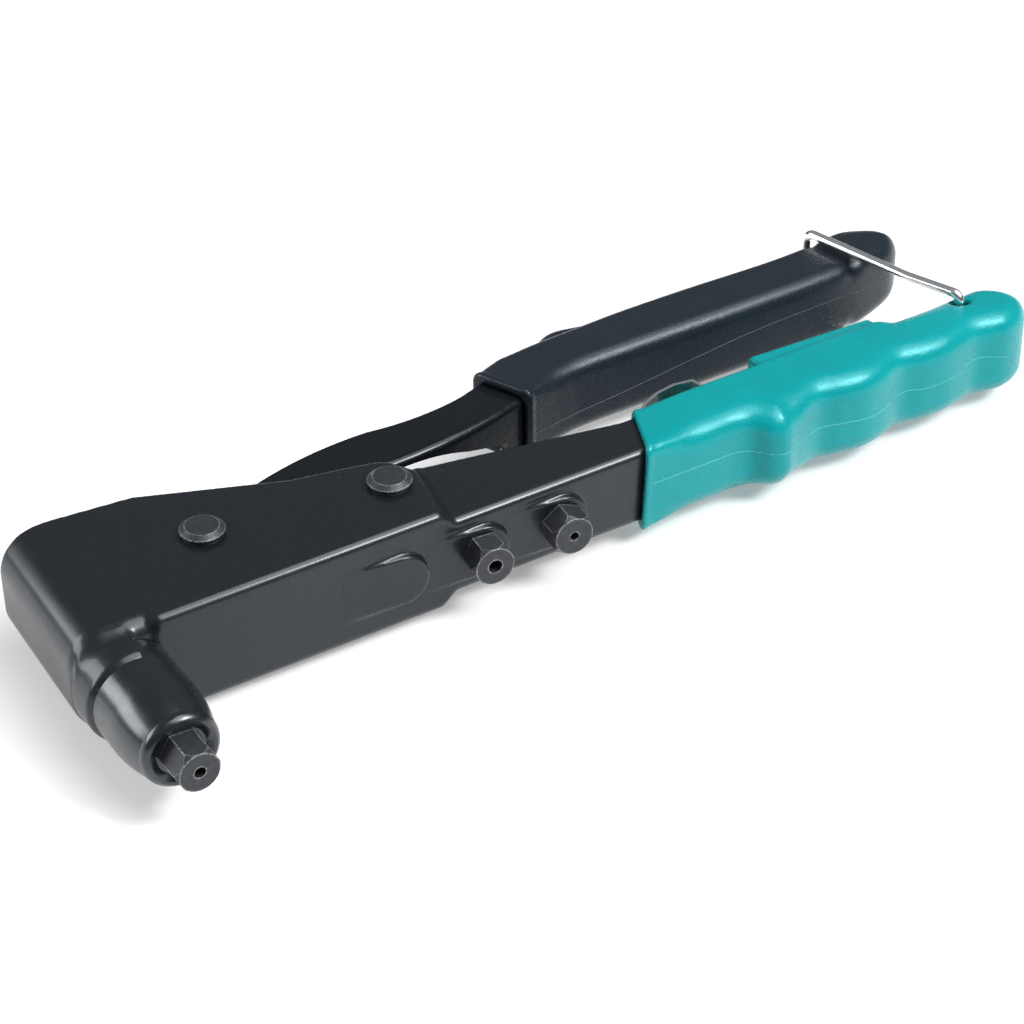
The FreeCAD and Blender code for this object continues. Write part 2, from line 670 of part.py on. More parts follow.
def make_bail():
    """Wire latch: hooks into the body grip and passes round the lever grip's end."""
    radius = size("bail_r")
    x, y = size("bail_x"), size("bail_y")
    half = [Vector(x, y, 5.5), Vector(x, y, 14.2), Vector(244.4, 26.8, 14.0),
            Vector(237.8, 62.2, 12.7)]
    mirror = [Vector(spot.x, spot.y, -spot.z) for spot in reversed(half)]
    route = [spot + Vector(0, WEB_Y, 0) for spot in half + mirror]
    bends = [2.4, 14.0, 3.0, 3.0, 14.0, 2.4]
    edges = []
    last = route[0]
    for index, bend in enumerate(bends, start=1):
        spot = route[index]
        back = (route[index - 1] - spot).normalize()
        ahead = (route[index + 1] - spot).normalize()
        turn = math.pi - back.getAngle(ahead)
        trim = bend * math.tan(turn / 2)
        arc_in = spot + back * trim
        arc_out = spot + ahead * trim
        middle = (back + ahead).normalize()
        centre = spot + middle * (bend / math.cos(turn / 2))
        through = centre - middle * bend
        edges.append(Part.LineSegment(last, arc_in).toShape())
        edges.append(Part.Arc(arc_in, through, arc_out).toShape())
        last = arc_out
    edges.append(Part.LineSegment(last, route[-1]).toShape())
    path = Part.Wire(edges)
    profile = Part.Wire([Part.Circle(route[0], Vector(0, 0, 1), radius).toShape()])
    shape_node("latch_bail", path.makePipeShell([profile], True, False))


# ---------------------------------------------------------------- assembly
make_body_frame()
make_barrel()
make_nosepiece("nosepiece_fitted", 1.45, size("barrel_seat") - size("barrel_len"), turn=-3)
make_spare("nosepiece_spare_large", 1.8, RAMP_X[1])
make_spare("nosepiece_spare_small", 1.2, RAMP_X[2], -20)
make_pin("fulcrum_pin", FULCRUM)
make_pin("pull_lever_pin", LINK)
ring_pair("fulcrum_washers", FULCRUM, size("lever_half") + 0.3, HEAD - WALL, size("pin_r"), 5.4)
ring_pair("pull_lever_spacers", LINK, size("link_half") + 0.3, HEAD - WALL, size("pin_r"), 5.4)
make_handle_lever()
make_pull_lever()
shape_node("pull_lever_bush", ring(*LINK, -size("link_half"), size("link_half"),
                                   size("pin_r") + 0.04, size("pin_r") + 1.5))
DRIVE_END = size("lever_half") + 2.0
shape_node("drive_pin", Part.makeCylinder(size("drive_r"), 2 * DRIVE_END,
                                          Vector(DRIVE[0], WEB_Y + DRIVE[1], -DRIVE_END)))
ring_pair("drive_pin_clips", DRIVE, size("lever_half"), size("lever_half") + 1.0,
          size("drive_r"), size("drive_r") + 1.8)
make_jaw_case()
make_jaws()
make_jaw_spring()
make_body_grip()
make_lever_grip()
shape_node("bumper_leaf", leaf())
make_bail()

doc.recompute()
for item in doc.Objects:
    if {"Invalid", "Error"} & set(item.State):
        raise RuntimeError(f"{item.Label} failed: {item.State}")
os.makedirs("parts", exist_ok=True)
for node in nodes:
    shape = node.Shape
    if shape.isNull() or not shape.isValid() or not shape.Solids:
        raise RuntimeError(f"{node.Label} has no valid solid")
    shape.exportStep(f"parts/{node.Label}.step")
    box = shape.BoundBox
    print(f"{node.Label:24s} solids {len(shape.Solids)}  volume {shape.Volume:9.1f}  "
          f"x {box.XMin:7.1f} {box.XMax:7.1f}  y {box.YMin:7.1f} {box.YMax:7.1f}  "
          f"z {box.ZMin:6.1f} {box.ZMax:6.1f}")
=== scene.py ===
"""Looks of the hand riveter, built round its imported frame.

Metres, in the frame's own axes: +X along the handles, -Y the way the rivet points, +Z up.
The body and the two grips are shaped in millimetres, as distance fields, and made into meshes.
The grips' parting lines are thin curves.  Every other piece is its CAD node in a procedural
material, some with narrow bevels.
"""

import json
import math

import bpy
import numpy as np
from mathutils import Matrix, Vector


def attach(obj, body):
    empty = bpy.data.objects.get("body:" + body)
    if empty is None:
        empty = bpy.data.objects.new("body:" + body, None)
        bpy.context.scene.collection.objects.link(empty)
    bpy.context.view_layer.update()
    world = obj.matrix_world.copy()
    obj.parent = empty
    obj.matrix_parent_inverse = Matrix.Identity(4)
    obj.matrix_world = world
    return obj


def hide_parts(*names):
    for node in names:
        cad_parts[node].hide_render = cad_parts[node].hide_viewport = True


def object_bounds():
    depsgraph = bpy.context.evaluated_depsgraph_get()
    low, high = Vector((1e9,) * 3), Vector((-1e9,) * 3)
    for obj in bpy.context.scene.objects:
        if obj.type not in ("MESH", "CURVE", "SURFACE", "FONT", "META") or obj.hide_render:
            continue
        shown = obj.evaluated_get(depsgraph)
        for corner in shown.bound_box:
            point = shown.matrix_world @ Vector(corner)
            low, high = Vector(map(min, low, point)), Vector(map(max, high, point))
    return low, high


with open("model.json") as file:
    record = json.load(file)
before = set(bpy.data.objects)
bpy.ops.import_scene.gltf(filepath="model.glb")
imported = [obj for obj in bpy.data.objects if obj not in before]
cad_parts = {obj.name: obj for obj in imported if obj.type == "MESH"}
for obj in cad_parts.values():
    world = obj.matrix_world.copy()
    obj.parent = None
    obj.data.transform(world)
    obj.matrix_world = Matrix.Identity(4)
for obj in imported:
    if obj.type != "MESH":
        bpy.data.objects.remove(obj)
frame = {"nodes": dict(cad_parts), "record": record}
cad_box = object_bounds()
nodes = frame["nodes"]
scene = bpy.context.scene

MM = 0.001
STEP = 0.5                          # size of a field's cells, in mm
WEB_Y = 37.1                        # front face of the body's web, in mm; depths start there
LATCH_X, LATCH_DEPTH = 250.0, 11.0  # the latch's hole through the end of the body and its grip


# ---------------------------------------------------------------- material helpers
SOCKETS = {
    "coat_weight": "Coat Weight", "coat_roughness": "Coat Roughness",
    "specular": "Specular IOR Level", "tint": "Specular Tint",
    "glow": "Emission Color", "glow_strength": "Emission Strength",
}
MIX_COLOURS, MIX_RESULT = (6, 7), 2     # a Mix node's colour sockets share their names
BLUISH = (0.84, 0.93, 1.0, 1.0)
CYAN = (0.42, 0.95, 1.0, 1.0)
WHITE = (1.0, 1.0, 1.0, 1.0)


class Surface:
    """A procedural material: a Principled shader and the textures that feed it.

    Its colour and roughness are plain values, and a texture that is fed in replaces them.
    Sizes and depths are in metres, so 28e-6 is 0.028 mm.
    """

    def __init__(self, name, colour, roughness, metallic=0.0, **sockets):
        self.material = bpy.data.materials.new(name)
        self.material.use_nodes = True
        self.tree = self.material.node_tree
        self.shader = self.tree.nodes["Principled BSDF"]
        self.shader.inputs["Base Color"].default_value = (*colour, 1.0)
        self.shader.inputs["Roughness"].default_value = roughness
        self.shader.inputs["Metallic"].default_value = metallic
        for socket, value in sockets.items():
            self.shader.inputs[SOCKETS[socket]].default_value = value
        self.coordinates = self.tree.nodes.new("ShaderNodeTexCoord").outputs["Object"]
        self.normal = None

    def node(self, kind, inputs=None, **settings):
        """A new node; an input given as another node's output is linked, any other is set."""
        item = self.tree.nodes.new(kind)
        for key, value in settings.items():
            setattr(item, key, value)
        for key, value in (inputs or {}).items():
            if isinstance(value, bpy.types.NodeSocket):
                self.tree.links.new(value, item.inputs[key])
            else:
                item.inputs[key].default_value = value
        return item

    def stretched(self, stretch):
        """The object's coordinates, multiplied along each axis."""
        item = self.node("ShaderNodeVectorMath", {0: self.coordinates, 1: stretch},
                         operation="MULTIPLY")
        return item.outputs["Vector"]

    def noise(self, size, detail=3.0, stretch=(1, 1, 1), roughness=0.5):
        """Noise with features about a size wide, longer along an axis where stretch is under 1."""
        item = self.node("ShaderNodeTexNoise", {
            "Vector": self.stretched(stretch), "Scale": 1 / size, "Detail": detail,
            "Roughness": roughness})
        return item.outputs["Fac"]

    def ramp(self, value, low, high, start=0.3, end=0.7):
        """Maps a value from start..end to low..high, and stops at both ends."""
        item = self.node("ShaderNodeMapRange", {
            "Value": value, "From Min": start, "From Max": end, "To Min": low, "To Max": high})
        return item.outputs["Result"]

    def mixed(self, factor, first, second):
        """A colour between two colours, by a factor of 0 to 1."""
        item = self.node("ShaderNodeMix", {"Factor": factor}, data_type="RGBA")
        for index, value in zip(MIX_COLOURS, (first, second)):
            if isinstance(value, bpy.types.NodeSocket):
                self.tree.links.new(value, item.inputs[index])
            else:
                item.inputs[index].default_value = (*value, 1.0)
        return item.outputs[MIX_RESULT]

    def edges(self, reach):
        """1 along edges and corners within a reach, 0 on flats."""
        rounded = self.node("ShaderNodeBevel", {"Radius": reach}, samples=6).outputs["Normal"]
        true = self.node("ShaderNodeNewGeometry").outputs["Normal"]
        agree = self.node("ShaderNodeVectorMath", {0: rounded, 1: true}, operation="DOT_PRODUCT")
        return self.ramp(agree.outputs["Value"], 1.0, 0.0, start=0.90, end=0.985)

    def feed(self, socket, value):
        """Links a texture to a socket of the shader."""
        self.tree.links.new(value, self.shader.inputs[socket])

    def bump(self, height, depth):
        """Adds relief; depth is how far the height's range of 0 to 1 stands up."""
        item = self.node("ShaderNodeBump", {"Distance": depth, "Height": height})
        if self.normal:
            self.tree.links.new(self.normal, item.inputs["Normal"])
        self.normal = item.outputs["Normal"]
        self.feed("Normal", self.normal)


# ---------------------------------------------------------------- shaping by distance fields
# A field is an array of signed distances in mm, negative inside.  X runs along the handles,
# D is the depth behind the web's front face and Z is up.
def grid(low, high):
    """Coordinates of a grid, ready to broadcast along their own axes."""
    ways = [np.arange(a, b + STEP, STEP, dtype=np.float32) for a, b in zip(low, high)]
    return ways[0][:, None, None], ways[1][None, :, None], ways[2][None, None, :]


def join(a, b, blend):
    """Union of two fields with a soft inner corner."""
    share = np.clip(0.5 + 0.5 * (b - a) / blend, 0, 1)
    return b * (1 - share) + a * share - blend * share * (1 - share)


def cut(a, b, blend):
    """The first field without the second, with softened edges."""
    return -join(-a, b, blend)


def meet(a, b, radius):
    """Overlap of two fields whose shared edge is rounded to a radius."""
    inner = np.minimum(np.maximum(a + radius, b + radius), 0)
    return inner + np.hypot(np.maximum(a + radius, 0), np.maximum(b + radius, 0)) - radius


def fade(value, start, end):
    """0 before start, 1 after end, and smooth between."""
    share = np.clip((value - start) / (end - start), 0, 1)
    return share * share * (3 - 2 * share)


def morph(first, second, share):
    """The first field where the share is 0, and the second where it is 1."""
    return first + (second - first) * share


def ridge(distance, height, width):
    """A soft ridge along the place where a distance is 0."""
    return height * np.exp(-(distance / width) ** 2)


def smooth_run(knots, steps=7):
    """A smooth line through plan points (Catmull-Rom)."""
    points = np.array([knots[0], *knots, knots[-1]], float)
    run = []
    for p0, p1, p2, p3 in zip(points, points[1:], points[2:], points[3:]):
        for t in np.arange(steps) / steps:
            run.append(0.5 * (2 * p1 + (p2 - p0) * t + (2 * p0 - 5 * p1 + 4 * p2 - p3) * t ** 2
                              + (3 * p1 - p0 - 3 * p2 + p3) * t ** 3))
    return run + [points[-1]]


def outline_field(points, X, D):
    """Signed distance from a closed outline in plan."""
    X, D = np.broadcast_arrays(X, D)
    nearest = np.full(X.shape, np.inf, np.float32)
    inside = np.zeros(X.shape, bool)
    for (ax, ay), (bx, by) in zip(points, [*points[1:], points[0]]):
        dx, dy = bx - ax, by - ay
        along = np.clip(((X - ax) * dx + (D - ay) * dy) / max(dx * dx + dy * dy, 1e-9), 0, 1)
        nearest = np.minimum(nearest, (X - ax - along * dx) ** 2 + (D - ay - along * dy) ** 2)
        if dy:
            inside ^= ((ay > D) != (by > D)) & (X < ax + (D - ay) * dx / dy)
    return np.where(inside, -1, 1) * np.sqrt(nearest)


def edge_field(start, end, X, D):
    """Signed distance from a line in plan, negative on its right as it runs."""
    dx, dy = end[0] - start[0], end[1] - start[1]
    return ((D - start[1]) * dx - (X - start[0]) * dy) / math.hypot(dx, dy)


def surface_mesh(name, field, low):
    """A mesh of a field's zero surface: one vertex in each cell that the surface crosses."""
    inside = field < 0
    cells = [size - 1 for size in field.shape]

    def corner(values, i, j, k):
        return values[i:i + cells[0], j:j + cells[1], k:k + cells[2]]

    corners = [(i, j, k) for i in (0, 1) for j in (0, 1) for k in (0, 1)]
    count = sum(corner(inside, *spot).astype(np.int8) for spot in corners)
    active = (count > 0) & (count < len(corners))
    cell = np.argwhere(active)
    total = np.zeros((len(cell), 3))
    hits = np.zeros(len(cell))
    for spot in corners:
        for axis in range(3):
            if spot[axis]:
                continue
            far = [value + (way == axis) for way, value in enumerate(spot)]
            a = corner(field, *spot)[active]
            b = corner(field, *far)[active]
            crossing = (a < 0) != (b < 0)
            point = np.tile(np.array(spot, float), (len(cell), 1))
            point[:, axis] += np.where(crossing, a / np.where(crossing, a - b, 1), 0)
            total += point * crossing[:, None]
            hits += crossing
    spots = (cell + total / hits[:, None]) * STEP + np.array(low)
    spots[:, 1] += WEB_Y

    index = np.full(cells, -1)
    index[active] = np.arange(len(cell))
    quads = []
    for axis in range(3):
        u, v = (axis + 1) % 3, (axis + 2) % 3
        here = [slice(1, -1)] * 3
        here[axis] = slice(0, -1)
        there = list(here)
        there[axis] = slice(1, None)
        starts_inside = inside[tuple(here)]
        crossing = starts_inside != inside[tuple(there)]
        spot = np.argwhere(crossing)
        spot[:, u] += 1
        spot[:, v] += 1
        ring = []
        for back_u, back_v in ((0, 0), (1, 0), (1, 1), (0, 1)):
            around = spot.copy()
            around[:, u] -= back_u
            around[:, v] -= back_v
            ring.append(index[tuple(around.T)])
        quad = np.stack(ring, axis=1)
        quads.append(np.where(starts_inside[crossing][:, None], quad, quad[:, ::-1]))

    mesh = bpy.data.meshes.new(name)
    mesh.from_pydata((spots * MM).tolist(), [], np.concatenate(quads).tolist())
    mesh.polygons.foreach_set("use_smooth", np.ones(len(mesh.polygons), bool))
    return mesh


def add_piece(name, data, body, slot, *replaced, look=None):
    """Puts a piece in the scene, riding on a body, in its slot's material or another look."""
    piece = bpy.data.objects.new(name, data)
    scene.collection.objects.link(piece)
    data.materials.append(materials[look or slot])
    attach(piece, body)
    if replaced:
        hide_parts(*replaced)


# ---------------------------------------------------------------- materials
def body_enamel():
    """Satin black enamel over pressed steel, with faint draw marks across the web."""
    s = Surface("body_enamel", (0.0055, 0.0068, 0.0090), 0.36, coat_weight=0.34,
                coat_roughness=0.15, specular=0.34, tint=BLUISH)
    marks = s.noise(0.0011, 4, stretch=(1.0, 0.25, 0.06))
    cloud = s.noise(0.02, 3)
    s.feed("Roughness", s.ramp(cloud, 0.32, 0.42))
    s.feed("Base Color", s.mixed(marks, (0.0035, 0.0045, 0.0062), (0.0085, 0.0100, 0.0128)))
    s.bump(s.noise(0.0008, 2), depth=28e-6)
    s.bump(marks, depth=40e-6)
    return s.material


def barrel_black():
    """Glossier black on the turned barrel, with a grain that runs round it."""
    s = Surface("barrel_black", (0.0050, 0.0062, 0.0080), 0.26, coat_weight=0.5,
                coat_roughness=0.21, tint=BLUISH)
    s.feed("Roughness", s.ramp(s.noise(0.004, 3), 0.24, 0.34))
    s.bump(s.noise(0.0010, 3, stretch=(0.1, 1.0, 0.1)), depth=5e-6)
    s.bump(s.noise(0.0008, 2), depth=5e-6)
    return s.material


def dark_phosphate():
    """Phosphated steel: dark, matt and mottled, with a painted highlight in patches along its
    edges.
    """
    s = Surface("dark_phosphate", (0.032, 0.035, 0.038), 0.45, metallic=0.4)
    mottled = s.mixed(s.noise(0.0014, 5), (0.016, 0.018, 0.021), (0.050, 0.053, 0.057))
    # Painted highlight: edges and corners are mixed towards pale grey, in patches, as if their
    # chamfers caught the light.
    edges = s.edges(0.0006)
    patches = s.ramp(s.noise(0.0007, 4), 0.15, 1.0, start=0.38, end=0.62)
    painted_edge_highlight = s.node("ShaderNodeMath", {0: edges, 1: patches}, operation="MULTIPLY")
    s.feed("Base Color", s.mixed(painted_edge_highlight.outputs["Value"], mottled, (0.46, 0.46, 0.46)))
    s.feed("Roughness", s.ramp(s.noise(0.0006, 3), 0.34, 0.56))
    s.bump(s.noise(0.0006, 4), depth=35e-6)
    return s.material


def lever_black():
    """Black enamel over a rough rolled skin."""
    s = Surface("lever_black", (0.0040, 0.0049, 0.0064), 0.28, coat_weight=0.3,
                coat_roughness=0.07, specular=0.14, tint=BLUISH)
    s.feed("Roughness", s.ramp(s.noise(0.002, 3), 0.24, 0.38))
    s.bump(s.noise(0.0030, 3), depth=150e-6)
    s.bump(s.noise(0.0008, 2), depth=15e-6)
    return s.material


def metal(name, colour, roughness, grain=0.0008, relief=6e-6):
    """Bare or plated metal with a fine grain drawn out along Y."""
    s = Surface(name, colour, roughness, metallic=1.0)
    s.feed("Roughness", s.ramp(s.noise(grain, 3), roughness * 0.8, roughness * 1.3))
    s.bump(s.noise(grain, 3, stretch=(1, 0.2, 1)), relief)
    return s.material


def vinyl(name, colour, dark, roughness, specular=0.4, tint=BLUISH):
    """Moulded vinyl with a fine grain, a slight waviness and a clouded colour."""
    s = Surface(name, colour, roughness, specular=specular, tint=tint)
    grain = s.noise(0.00055, 3, roughness=0.65)
    cloud = s.noise(0.012, 3)
    s.feed("Base Color", s.mixed(s.ramp(cloud, 0.0, 1.0), dark, colour))
    s.feed("Roughness", s.ramp(grain, roughness * 0.8, roughness * 1.2))
    s.bump(grain, depth=75e-6)
    s.bump(s.noise(0.0022, 2), depth=20e-6)
    return s.material


METALS = {      # colour and roughness; plating has a coarser grain and less relief as well
    "bare_steel": ((0.50, 0.51, 0.53), 0.28),
    "jaw_steel": ((0.26, 0.26, 0.27), 0.38),
    "spring_steel": ((0.42, 0.42, 0.44), 0.30),
    "bush_bronze": ((0.50, 0.33, 0.16), 0.35),
    "nickel_wire": ((0.92, 0.91, 0.88), 0.16, 0.002, 3e-6),
    "nickel_strip": ((0.80, 0.79, 0.76), 0.22, 0.002, 3e-6),
}
VINYLS = {      # colour, darker colour and roughness; the grips set their specular level too
    "grip_teal": ((0.0, 0.238, 0.247), (0.0, 0.216, 0.227), 0.26, 0.50, CYAN),
    # The seam colours are paler copies of the grip colours, a painted highlight along the parting
    # lines.
    "grip_teal_seam": ((0.07, 0.42, 0.42), (0.05, 0.37, 0.37), 0.40),
    "grip_slate": ((0.0110, 0.0160, 0.0215), (0.0090, 0.0135, 0.0185), 0.27, 0.34),
    "grip_slate_seam": ((0.055, 0.065, 0.075), (0.045, 0.055, 0.065), 0.40),
}


def make_materials():
    """Every material by its slot's name; a grip's parting line has a paler one of its own, which
    paints a highlight along the line.
    """
    made = {"body_enamel": body_enamel(), "barrel_black": barrel_black(),
            "dark_phosphate": dark_phosphate(), "lever_black": lever_black()}
    made.update((name, metal(name, *values)) for name, values in METALS.items())
    made.update((name, vinyl(name, *values)) for name, values in VINYLS.items())
    return made


materials = make_materials()
slots = {part["node"]: part["material_slot"] for part in frame["record"]["subparts"]}
for name, node in nodes.items():
    node.data.materials.clear()
    node.data.materials.append(materials[slots[name]])


# ---------------------------------------------------------------- pressed body
def make_body():
    """The folded sheet body: its bends, the neck, the half collar and the raised ramps."""
    low = (-14.0, -9.0, -15.5)
    X, D, Z = grid(low, (258.5, 50.5, 15.5))
    side = np.abs(Z)
    ring = np.hypot(X, Z)               # distance from the mandrel's axis
    wall = 2.5
    head_half, handle_half = 14.15, 10.8
    neck_start, neck_end = 82.6, 88.0
    end_corner, tight_bend, loose_bend = 9.3, 2.4, 5.5
    hollow_corner, hollow_bend = 6.8, 3.0
    collar_radius, collar_flare, collar_bore, collar_front = 11.3, 1.1, 10.9, -7.5
    ramp_starts = (57.9, 80.4, 102.9)
    ramp_slope = math.tan(math.radians(6.3))
    ramp_length, ramp_half = 14.0, 7.0  # length up to its round end's centre, and half width
    barrel_hole, spare_hole, spare_along = 9.6, 4.05, 13.5
    flange_holes = ((32.9, 24.1, 4.0), (79.8, 17.7, 4.0), (LATCH_X, LATCH_DEPTH, 1.4))

    def neck(x, wide, narrow):
        """Half the width along the body, which narrows from the head to the handle."""
        return wide - (wide - narrow) * fade(x - 0.2 * (D + 1), neck_start, neck_end)

    # The end wall leans a little.  Round the collar the web is set back, and its bend into
    # the flanges has a larger radius.
    end = 0.046 * D - 11.5 - X
    shell = meet(end, side - neck(X, head_half, handle_half), end_corner)
    web = 0.4 * fade(-X, -9.6, -7.0) - D
    shell = morph(meet(shell, web, loose_bend), meet(shell, web, tight_bend),
                  fade(X, 7.0, 10.4))
    rear = outline_field([
        (-30, 44.9), (3.5, 49.1), (25.5, 46.9), (60.6, 32.6), (73.5, 29.9), (82.4, 27.7),
        (89.5, 24.6), (143.6, 14.0), (257, 14.0), (257, -20), (-30, -20)], X, D)
    shell = meet(shell, rear, 0.5)

    # At the neck the wide part of the flanges ends in a step.
    notch = outline_field([
        (80.4, 29.4), (84.6, 26.0), (87.5, 20.8), (96, 20.8), (96, 34), (80.4, 34)], X, D)
    shell = cut(shell, np.maximum(notch, 11.1 - side), 0.8)

    # Each ramp rises along X to a round end.
    for start in ramp_starts:
        plan = np.hypot(np.maximum(X - start - ramp_length, 0), Z) - ramp_half
        plan = meet(plan, start - 1.5 - X, 0.5)
        wedge = meet(plan, -(X - start) * ramp_slope - D, 0.75)
        shell = join(shell, np.maximum(wedge, D - 1.5), 0.8)

    # The half collar flares towards the web, and its bore takes the barrel.
    collar = ring - collar_radius - collar_flare * fade(D, -7.6, -5.4)
    collar = meet(meet(collar, collar_front - D, 0.2), X - 2.5, 0.7)
    shell = join(shell, np.maximum(collar, D - 2), 2.2)
    shell = cut(shell, np.maximum(ring - collar_bore, D), 0.1)

    # A punched dimple in the upper flange, and the hollow inside.
    dimple = np.sqrt((X - 71.2) ** 2 + (D - 26.5) ** 2 + (Z - 15.0) ** 2) - 1.3
    shell = cut(shell, dimple, 0.4)
    inner = side - neck(X + 0.5, head_half - wall, handle_half - wall)
    hollow = meet(meet(end + wall, inner, hollow_corner), wall - D, hollow_bend)
    shell = cut(shell, hollow, 0.6)

    # Holes through both flanges, for the pins and the latch, then through the web, for the
    # barrel and the two spare nosepieces.  The ramp nearest the head has no hole.
    for x, depth, radius in flange_holes:
        shell = np.maximum(shell, radius - np.hypot(X - x, D - depth))
    near_web = D < 4
    shell = np.maximum(shell, np.where(near_web, barrel_hole - ring, -np.inf))
    for start in ramp_starts[1:]:
        hole = spare_hole - np.hypot(X - start - spare_along, Z)
        shell = np.maximum(shell, np.where(near_web, hole, -np.inf))

    mesh = surface_mesh("body_shell", shell, low)
    add_piece("body_shell", mesh, "body", "body_enamel", "body_frame")


# ---------------------------------------------------------------- grips
def seam(name, knots, field, low, body, slot):
    """The fine raised line of a mould's parting, laid on the front of a grip's field; its paler
    material is a painted highlight.

    A knot is (x, z); the depth is where the field's front surface lies there.
    """
    points = []
    for x, z in smooth_run(knots, steps=9):
        column = field[round((x - low[0]) / STEP), :, round((z - low[2]) / STEP)]
        first = int(np.argmax(column < 0))
        before, after = column[first - 1], column[first]
        points.append((x, low[1] + STEP * (first - 1 + before / (before - after)), z))
    curve = bpy.data.curves.new(name, "CURVE")
    curve.dimensions = "3D"
    curve.bevel_depth = 0.11 * MM
    curve.bevel_resolution = 2
    line = curve.splines.new("POLY")
    line.points.add(len(points) - 1)
    for spot, (x, depth, z) in zip(line.points, points):
        spot.co = (x * MM, (depth + WEB_Y) * MM, z * MM, 1)
    # Painted highlight: the line takes the paler seam copy of its grip's material.
    add_piece(name, curve, body, slot, look=slot + "_seam")


def make_body_grip():
    """Moulded teal grip: finger waves, stop bump, rear block and rounded bulb."""
    low = (139.0, -9.0, -14.0)
    X, D, Z = grid(low, (270.0, 25.0, 14.0))
    side = np.abs(Z)
    half = 12.4
    face, rear = -1.9, 15.9             # depths of the front and the back near the mouth
    hollow = 9                          # how far the room for the steel goes into the mouth
    bulb_start, bulb_end = 225, 231     # X where the crisp back turns into the bulb
    bump_x = 181.0
    front = [
        (162.0, -1.8), (168.5, -1.6), (172.8, -2.6), (176.7, -6.4), (180.8, -7.5), (186.0, -5.1),
        (194.0, -2.4), (201.0, -3.7), (208.0, -4.6), (214.5, -3.6), (221.5, -1.3), (229.0, -2.5),
        (236.0, -2.7), (242.0, -1.6), (247.5, -0.6), (256.0, -2.2), (263.0, 0.0)]
    back = [
        (266.9, 5.4), (265.2, 11.8), (259.5, 16.2), (252.0, 16.4), (240.0, 15.7), (222.0, 15.8),
        (190.0, rear)]
    run = smooth_run([(153.0, face), *front, *back])
    flat = outline_field([(120.0, face), *run, (120.0, rear)], X, D)

    # The mouth slants, and it's moved towards the nose, more so low down.  0.93 is the slant's
    # cosine.
    mouth = edge_field((142.4, face), (149.6, rear), X, D) - 0.93 * (1.85 - 0.055 * Z)

    # Its edges are round in front, most of all at the stop bump, and crisp behind as far as
    # the bulb.  They are tight near the mouth.
    soft = meet(flat, side - half, 6.0 + ridge(X - bump_x, 2.4, 6.0))
    crisp = meet(flat, side - half, 1.6)
    snug = meet(flat, side - half, 2.6)
    grip = soft + (crisp - soft) * fade(D, 5, 13) * fade(-X, -bulb_end, -bulb_start)
    grip = morph(snug, grip, fade(-mouth, 1, 15))

    # The rear block, and the rolled lip of the mouth.
    block = outline_field([(186.9, 8.0), (187.9, 20.6), (225.4, 18.8), (226.4, 8.0)], X, D)
    grip = join(grip, meet(block, side - half + 0.75, 1.4), 1.1)
    grip = meet(grip - ridge(mouth + 0.9, 0.30, 1.0), mouth, 0.7)

    # Room for the steel just inside the mouth and for the bumper leaf, and the latch's pit.
    room = np.maximum(meet(side - 11.0, -0.25 - D, 2.5), D - 14.4)
    grip = cut(grip, np.maximum(room, -mouth - hollow), 0.5)
    leaf_gap = np.maximum(np.maximum(side - 9.3, np.abs(D - 17.2) - 0.9), X - 189.0)
    grip = cut(grip, leaf_gap, 0.4)
    below = D - LATCH_DEPTH
    pit = np.hypot((X - LATCH_X + 0.35 * below) / 1.25, below) - 1.9
    grip = cut(grip, np.maximum(pit, 7.5 - side), 1.2)

    mesh = surface_mesh("teal_grip", grip, low)
    add_piece("teal_grip", mesh, "body", "grip_teal", "body_grip")
    seam("teal_grip_seam", [
        (143.0, 1.6), (156.0, 1.6), (166.5, 1.4), (172.0, 0.8), (178.0, 0.2), (186.0, -0.2),
        (196.0, -0.3), (203.0, -0.6), (212.0, -1.0), (222.0, 0.2), (229.0, -0.4), (237.5, -0.1),
        (241.0, -0.2), (244.0, 1.4), (250.0, 1.2), (257.0, -0.6)],
        grip, low, "body", "grip_teal")


